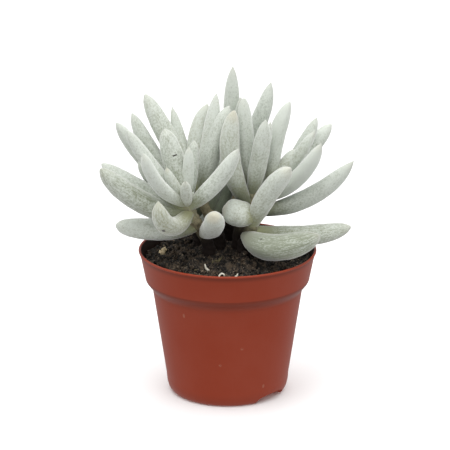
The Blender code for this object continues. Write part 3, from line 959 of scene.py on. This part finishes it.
def add_leaf(stem, root, row, sides, rings, draw, looks, scar=None):
    """A fleshy spindle with slightly flattened flanks, soft dents and a small point."""
    _, direction, rise, length, width, _, _, blunt = row
    side = leaf_axes(direction, rise)[1]
    shift = Vector([draw.uniform(-80, 80) for _ in range(3)])
    phases = [draw.uniform(0, 2 * pi) for _ in LEAF_LOBES]
    first = len(stem.points)
    step = 0.005
    for along in ring_shares(rings):
        centre = leaf_point(root, row, along)
        heading = leaf_point(root, row, along + step) - leaf_point(root, row, along - step)
        heading.normalize()
        across = (side - heading * side.dot(heading)).normalized()
        up = heading.cross(across)
        half = width / 2 * leaf_section(along, blunt)
        near_tip = max(0.0, along - (1 - LEAF_POINT_SHARE)) / LEAF_POINT_SHARE
        for k in range(sides):
            angle = 2 * pi * k / sides
            flank = sum(size * cos(count * angle + phase + along * 1.5)
                        for (count, size), phase in zip(LEAF_LOBES, phases))
            local = round_place(width / 2, angle, along * length)
            dent = sum(depth * noise.noise((local + shift) / size) for size, depth in LEAF_DENTS)
            girth = half * (1 + flank + dent)
            point = centre + across * cos(angle) * girth
            point += up * sin(angle) * girth * LEAF_THICKNESS
            point += heading * near_tip * LEAF_POINT
            mark = scar_place(scar, angle, along, half, length) if scar else None
            stem.add(point, local + shift, along, looks, scar=mark)
    stem.faces += capped_faces(first, sides, rings)


def add_stem_core(stem, name, draw):
    """The stem: slightly uneven, ringed by old leaf scars, with a rounded tip."""
    foot = STEMS[name][0]
    shift = Vector((draw.uniform(-80, 80), draw.uniform(-80, 80), 0))
    first = len(stem.points)
    step = 0.01
    for ring in range(STEM_RINGS):
        share = ring / (STEM_RINGS - 1)
        height = (1 + STEM_BURIED_SHARE) * share - STEM_BURIED_SHARE
        if height < 0:
            drop = height * (STEM_FOOT_LEVEL - STEM_BURIED_TO) / STEM_BURIED_SHARE
            centre = Vector((*foot, STEM_FOOT_LEVEL + drop))
            heading = Vector((0, 0, 1))
        else:
            centre = stem_point(name, height)
            heading = stem_point(name, height + step) - stem_point(name, height - step)
            heading.normalize()
        across = heading.cross(Vector((0, 1, 0))).normalized()
        up = heading.cross(across)
        girth = STEM_RADIUS * (1 - STEM_TAPER * share)
        if share > STEM_ROUND_FROM:
            rounding = (share - STEM_ROUND_FROM) / (1 - STEM_ROUND_FROM)
            girth *= sqrt(max(0.02, 1 - rounding ** 2))
        bark = 1.0 - 0.75 * max(0.0, (share - 0.72) / 0.28)
        for k in range(STEM_SIDES):
            angle = 2 * pi * k / STEM_SIDES
            local = round_place(girth, angle, centre.z)
            uneven = 0.16 * noise.noise((local + shift) / 2.6)
            uneven += 0.05 * sin(centre.z * 2.2 + 2 * angle)
            out = across * cos(angle) + up * sin(angle)
            stem.add(centre + out * girth * (1 + uneven), local, 0.1, (0.2, 0.0, 0.0), bark)
    stem.faces += capped_faces(first, STEM_SIDES, STEM_RINGS)


def add_buds(stem, name, count, draw):
    """Young leaves still upright round the growing tip."""
    for k in range(count):
        direction = 360 * k * BUD_TURN + draw.uniform(-15, 15)
        row = (1.0, direction, BUD_RISE + 8 * k, BUD_LENGTH - k, BUD_WIDTH - 0.3 * k, 8, 0, 0.6)
        root = stem_point(name, 0.985) + round_place(1, radians(direction)) * 0.8
        add_leaf(stem, root, row, BUD_SIDES, BUD_RINGS, draw, BUD_LOOKS)


def build_leafy_stems(settings):
    """One piece for each stem, with all its leaves."""
    material = felt_finish(settings)
    made = []
    for name, rows in LEAVES.items():
        draw = random.Random("senecio " + name)
        stem = StemMesh()
        add_stem_core(stem, name, draw)
        for k, row in enumerate(rows):
            chance = (draw.uniform(-0.5, 0.4), draw.uniform(0, 0.3), draw.uniform(0, 0.12))
            add_leaf(stem, stem_point(name, row[0]), row, settings.sides, settings.rings, draw,
                     LEAF_TONES[name].get(k, chance), LEAF_SCARS.get(name, {}).get(k))
        add_buds(stem, name, settings.buds, draw)
        piece = make_piece("leafy_stem_" + name, stem.points, stem.faces, material,
                           stem.values)
        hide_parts("stem_" + name)
        made.append(piece)
    return made


def build_stage(settings):
    """A wide pale floor, soft lights and the camera at the photograph's angle."""
    bm = bmesh.new()
    bmesh.ops.create_circle(bm, cap_ends=True, segments=96, radius=9.0)
    floor = add_object("studio_floor", take_mesh("studio_floor", bm))
    floor.location.z = -0.0002
    floor.visible_diffuse = False
    floor.visible_glossy = False
    finish = Finish("studio_floor")
    finish.set(Base_Color=settings.floor_colour, Roughness=0.9, Specular_IOR_Level=0.1)
    floor.data.materials.append(finish.material)
    world = bpy.data.worlds.new("studio_world")
    world.use_nodes = True
    wiring = Wiring(world.node_tree)
    height = wiring.part(wiring.node("TexCoord", output="Generated"), "Z")
    sky = world.node_tree.nodes["Background"]
    sky.inputs["Color"].default_value = (1.0, 1.0, 1.0, 1.0)
    glow = settings.horizon_light + height.fade(0.15, 0.85) * settings.overhead_light
    wiring.feed(sky.inputs["Strength"], glow)
    bpy.context.scene.world = world
    for name, (place, width, share) in LIGHTS.items():
        add_light(name, place, width, share * settings.light_power)
    add_camera(settings)
    bpy.context.scene.view_settings.view_transform = "Standard"
    return floor


def add_light(name, place, width, power):
    """A round soft light that faces the plant."""
    light = bpy.data.lights.new(name, "AREA")
    light.shape = "DISK"
    light.size = width
    light.energy = power
    item = add_object(name, light)
    item.location = place
    facing = Vector(LIGHT_TARGET) - item.location
    item.rotation_euler = facing.to_track_quat("-Z", "Y").to_euler()


def add_camera(settings):
    camera = bpy.data.cameras.new("photo_camera")
    camera.lens = settings.lens
    camera.sensor_width = 36.0
    camera.clip_end = 50.0
    item = add_object("photo_camera", camera)
    item.location = (settings.camera_shift, -settings.camera_distance, settings.camera_height)
    item.rotation_euler = (pi / 2 - settings.camera_pitch, 0, 0)
    bpy.context.scene.camera = item


def tint(name, description, default):
    """A colour that the user can change."""
    return FloatVectorProperty(name=name, description=description, default=default,
                               subtype="COLOR", min=0.0, max=1.0)


def amount(name, description, default, **more):
    """A size, an angle or a strength that the user can change."""
    return FloatProperty(name=name, description=description, default=default, **more)


def how_many(name, description, default, least=0):
    """A whole number that the user can change."""
    return IntProperty(name=name, description=description, default=default, min=least)


class PotSettings(bpy.types.PropertyGroup):
    steps: how_many("Steps", "Faces round the pot", 144, 32)
    colour: tint("Plastic", "Colour of the pot's plastic", (0.25, 0.0325, 0.0105))
    faded_colour: tint("Faded plastic", "Where it is duller", (0.272, 0.048, 0.024))
    scuff_colour: tint("Scuffs", "Colour of scuffs and dust", (0.36, 0.15, 0.10))
    # Painted shade for the grooves under the lip and under the band
    painted_shade_colour: tint("Painted shade", "Held under the lip and the band", (0.07, 0.014, 0.006))
    # Nearly black, on the inner side of the wall above the soil
    inner_wall_colour: tint("Inner wall", "Peat on the rim's inner side", (0.02, 0.013, 0.01))
    scuffs: amount("Scuff strength", "How plainly the scuffs show", 0.5, min=0.0, max=1.0,
                   subtype="FACTOR")


class SoilSettings(bpy.types.PropertyGroup):
    seed: how_many("Seed", "Changes where loose bits lie", 7)
    sectors: how_many("Sectors", "Points round the soil", 260, 48)
    rings: how_many("Rings", "Rings of points in the soil", 84, 12)
    relief: amount("Relief", "Height of the soil's crumbs", 0.0024, unit="LENGTH")
    crumbs: how_many("Crumbs", "Loose crumbs", 1100)
    fibres: how_many("Fibres", "Fibres and fine roots", 170)
    colour: tint("Peat", "Colour of damp peat", (0.011, 0.0095, 0.0085))
    brown_colour: tint("Brown peat", "Colour of drier peat", (0.075, 0.054, 0.036))
    fleck_colour: tint("Flecks", "Colour of the palest flecks", (0.30, 0.24, 0.17))
    fibre_colour: tint("Fibres", "Colour of the fibres", (0.085, 0.06, 0.038))


class LeafSettings(bpy.types.PropertyGroup):
    sides: how_many("Sides", "Points round a leaf", 36, 8)
    rings: how_many("Rings", "Rings of points along a leaf", 60, 12)
    buds: how_many("Buds", "Young leaves at each stem's tip", 2)
    felt_colour: tint("Felt", "Colour under full felt", (0.585, 0.62, 0.565))
    green_colour: tint("Green", "Colour under thin felt", (0.20, 0.23, 0.18))
    yellow_colour: tint("Yellow", "The same on a yellowish leaf", (0.27, 0.275, 0.165))
    # Partly the leaf root's own colour, partly painted shade
    root_colour: tint("Leaf root", "Where a leaf meets its stem", (0.27, 0.275, 0.135))
    tip_colour: tint("Dry tip", "Colour of a dry tip", (0.54, 0.50, 0.38))
    # Painted shade on the leaves in the heart of the plant
    heart_shade_colour: tint("Heart shade", "Thin felt between the stems", (0.10, 0.115, 0.075))
    scar_colour: tint("Scars", "Colour of small scars", (0.05, 0.045, 0.04))
    # Partly the old bark's own brown, partly painted shade near the soil
    low_bark_and_shade_colour: tint("Old stem", "The stem near the soil", (0.015, 0.010, 0.008))
    young_bark_colour: tint("Young stem", "The stem higher up", (0.34, 0.30, 0.19))


class StageSettings(bpy.types.PropertyGroup):
    floor_colour: tint("Floor", "Colour of the floor", (0.85, 0.85, 0.85))
    horizon_light: amount("Light all round", "Light from the sides", 0.74, min=0.0)
    overhead_light: amount("Light overhead", "Added from above", 0.95, min=0.0)
    light_power: amount("Lights", "Power that each light takes its share of", 3.0, min=0.0,
                        unit="POWER")
    lens: amount("Lens", "Focal length in millimetres", 230.3, min=20.0)
    camera_distance: amount("Distance", "Level distance to the pot", 1.305, unit="LENGTH")
    camera_height: amount("Height", "Height over the floor", 0.5044, unit="LENGTH")
    camera_shift: amount("Shift", "Distance to the right", -0.0012, unit="LENGTH")
    camera_pitch: amount("Pitch", "How far it looks down", 0.313, subtype="ANGLE")


def finished(pieces):
    """End an operator, or raise an error if a piece came out empty."""
    for piece in pieces:
        if not piece.data.polygons:
            raise RuntimeError("%s came out without faces" % piece.name)
    return {"FINISHED"}


class SENECIO_OT_pot(bpy.types.Operator):
    """Make the nursery pot"""
    bl_idname = "senecio.pot"
    bl_label = "Nursery pot"

    def execute(self, context):
        return finished([build_pot(context.scene.senecio_pot)])


class SENECIO_OT_soil(bpy.types.Operator):
    """Make the peat that fills the pot"""
    bl_idname = "senecio.soil"
    bl_label = "Peat"

    def execute(self, context):
        return finished([build_soil(context.scene.senecio_soil)])


class SENECIO_OT_litter(bpy.types.Operator):
    """Strew crumbs, fibres and pale bits over the peat"""
    bl_idname = "senecio.litter"
    bl_label = "Crumbs and bits"

    def execute(self, context):
        settings = context.scene.senecio_soil
        return finished([build_crumbs(settings), build_fibres(settings), *build_bits(settings)])


class SENECIO_OT_leafy_stems(bpy.types.Operator):
    """Make the seven stems with their felted leaves"""
    bl_idname = "senecio.leafy_stems"
    bl_label = "Leafy stems"

    def execute(self, context):
        return finished(build_leafy_stems(context.scene.senecio_leaves))


class SENECIO_OT_stage(bpy.types.Operator):
    """Set the floor, the lights and the camera"""
    bl_idname = "senecio.stage"
    bl_label = "Stage"

    def execute(self, context):
        return finished([build_stage(context.scene.senecio_stage)])


class SENECIO_PT_panel(bpy.types.Panel):
    """Lists the steps and their settings"""
    bl_idname = "SENECIO_PT_panel"
    bl_label = "Potted senecio"
    bl_space_type = "VIEW_3D"
    bl_region_type = "UI"
    bl_category = "Senecio"

    def draw(self, context):
        for name, _, operators in STEPS:
            box = self.layout.box()
            for operator in operators:
                box.operator(operator.bl_idname)
            settings = getattr(context.scene, name)
            for key in settings.bl_rna.properties.keys():
                if key not in ("rna_type", "name"):
                    box.prop(settings, key)


# Each group of settings: its name, its class and the operators that use it
STEPS = (
    ("senecio_pot", PotSettings, (SENECIO_OT_pot,)),
    ("senecio_soil", SoilSettings, (SENECIO_OT_soil, SENECIO_OT_litter)),
    ("senecio_leaves", LeafSettings, (SENECIO_OT_leafy_stems,)),
    ("senecio_stage", StageSettings, (SENECIO_OT_stage,)),
)
CLASSES = [cls for _, group, operators in STEPS for cls in (group, *operators)]
CLASSES.append(SENECIO_PT_panel)


def register():
    for cls in CLASSES:
        bpy.utils.register_class(cls)
    for name, group, _ in STEPS:
        setattr(bpy.types.Scene, name, PointerProperty(type=group))


def unregister():
    for name, _, _ in STEPS:
        delattr(bpy.types.Scene, name)
    for cls in reversed(CLASSES):
        bpy.utils.unregister_class(cls)


def main():
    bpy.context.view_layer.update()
    register()
    bpy.ops.senecio.pot()
    bpy.ops.senecio.soil()
    bpy.ops.senecio.litter()
    bpy.ops.senecio.leafy_stems()
    bpy.ops.senecio.stage()


if __name__ == "__main__":
    main()
